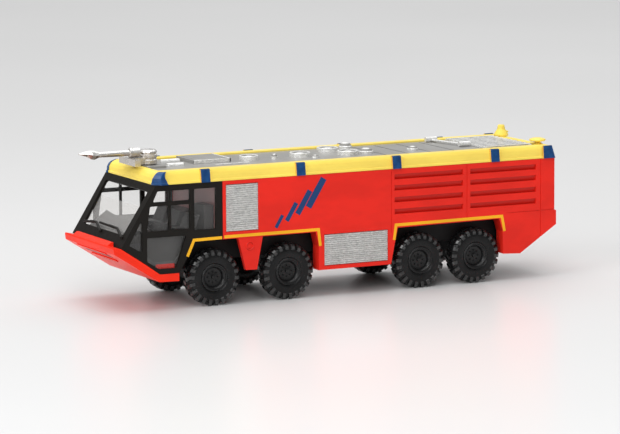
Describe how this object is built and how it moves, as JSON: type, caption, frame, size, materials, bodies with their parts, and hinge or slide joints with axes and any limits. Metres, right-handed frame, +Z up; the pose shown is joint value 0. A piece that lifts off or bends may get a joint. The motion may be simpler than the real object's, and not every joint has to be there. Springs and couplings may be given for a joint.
{
  "type": "scale model airport fire truck",
  "caption": "Small plastic display model of an airport fire truck with a raked cab, long body, roof monitor and rolling axles.",
  "frame": {"origin": "centre of the model's length and width, on the surface under the tyres", "axes": "+X forward, +Y to the vehicle's left, +Z up"},
  "size_m": [0.1432, 0.0358, 0.0439],
  "materials": {
    "red": "satin moulded red plastic",
    "cab_black": "satin black plastic",
    "chassis_black": "matt black plastic",
    "silver": "silver paint over ribbed moulding",
    "clear": "clear polystyrene",
    "interior": "matt dark grey plastic",
    "yellow": "satin yellow plastic",
    "blue": "gloss blue",
    "deck_grey": "satin grey plastic",
    "deck_silver": "silver paint",
    "tyre": "soft black plastic",
    "steel": "plain wire"
  },
  "bodies": {
    "truck": {"body_shell": "red", "cab_floor": "interior", "cab_frame": "cab_black", "cab_glazing": "clear", "chassis": "chassis_black", "cross_rail": "deck_silver", "dashboard": "interior", "front_bumper": "red", "lamp_1_left": "blue", "lamp_1_right": "blue", "lamp_2_left": "blue", "lamp_2_right": "blue", "lamp_3_left": "blue", "lamp_3_right": "blue", "lamp_4_left": "blue", "lamp_4_right": "blue", "lamp_front_left": "blue", "lamp_front_right": "blue", "lamp_rear_left": "blue", "lamp_rear_right": "blue", "rear_fitting_left": "yellow", "rear_fitting_right": "yellow", "rear_grille": "deck_silver", "roof_band": "yellow", "roof_deck": "deck_grey", "seats_front": "interior", "seats_rear": "interior", "shutter_front_left": "silver", "shutter_front_right": "silver", "shutter_middle_left": "silver", "shutter_middle_right": "silver", "steering_wheel": "interior"},
    "monitor": {"monitor_turret": "deck_silver", "monitor_barrel": "deck_silver"},
    "wheelset_1": {"axle_1": "steel", "wheel_1_left": "tyre", "wheel_1_right": "tyre"},
    "wheelset_2": {"axle_2": "steel", "wheel_2_left": "tyre", "wheel_2_right": "tyre"},
    "wheelset_3": {"axle_3": "steel", "wheel_3_left": "tyre", "wheel_3_right": "tyre"},
    "wheelset_4": {"axle_4": "steel", "wheel_4_left": "tyre", "wheel_4_right": "tyre"}
  },
  "joints": [
    {"name": "monitor_swivel", "type": "hinge", "parent": "truck", "child": "monitor", "pos_m": [0.0506, 0, 0.0389], "axis": [0, 0, 1], "range_deg": [-180, 180]},
    {"name": "wheelset_1_roll", "type": "hinge", "parent": "truck", "child": "wheelset_1", "pos_m": [0.038, 0, 0.008], "axis": [0, 1, 0], "continuous": true},
    {"name": "wheelset_2_roll", "type": "hinge", "parent": "truck", "child": "wheelset_2", "pos_m": [0.015, 0, 0.008], "axis": [0, 1, 0], "continuous": true},
    {"name": "wheelset_3_roll", "type": "hinge", "parent": "truck", "child": "wheelset_3", "pos_m": [-0.02715, 0, 0.008], "axis": [0, 1, 0], "continuous": true},
    {"name": "wheelset_4_roll", "type": "hinge", "parent": "truck", "child": "wheelset_4", "pos_m": [-0.0453, 0, 0.008], "axis": [0, 1, 0], "continuous": true}
  ]
}
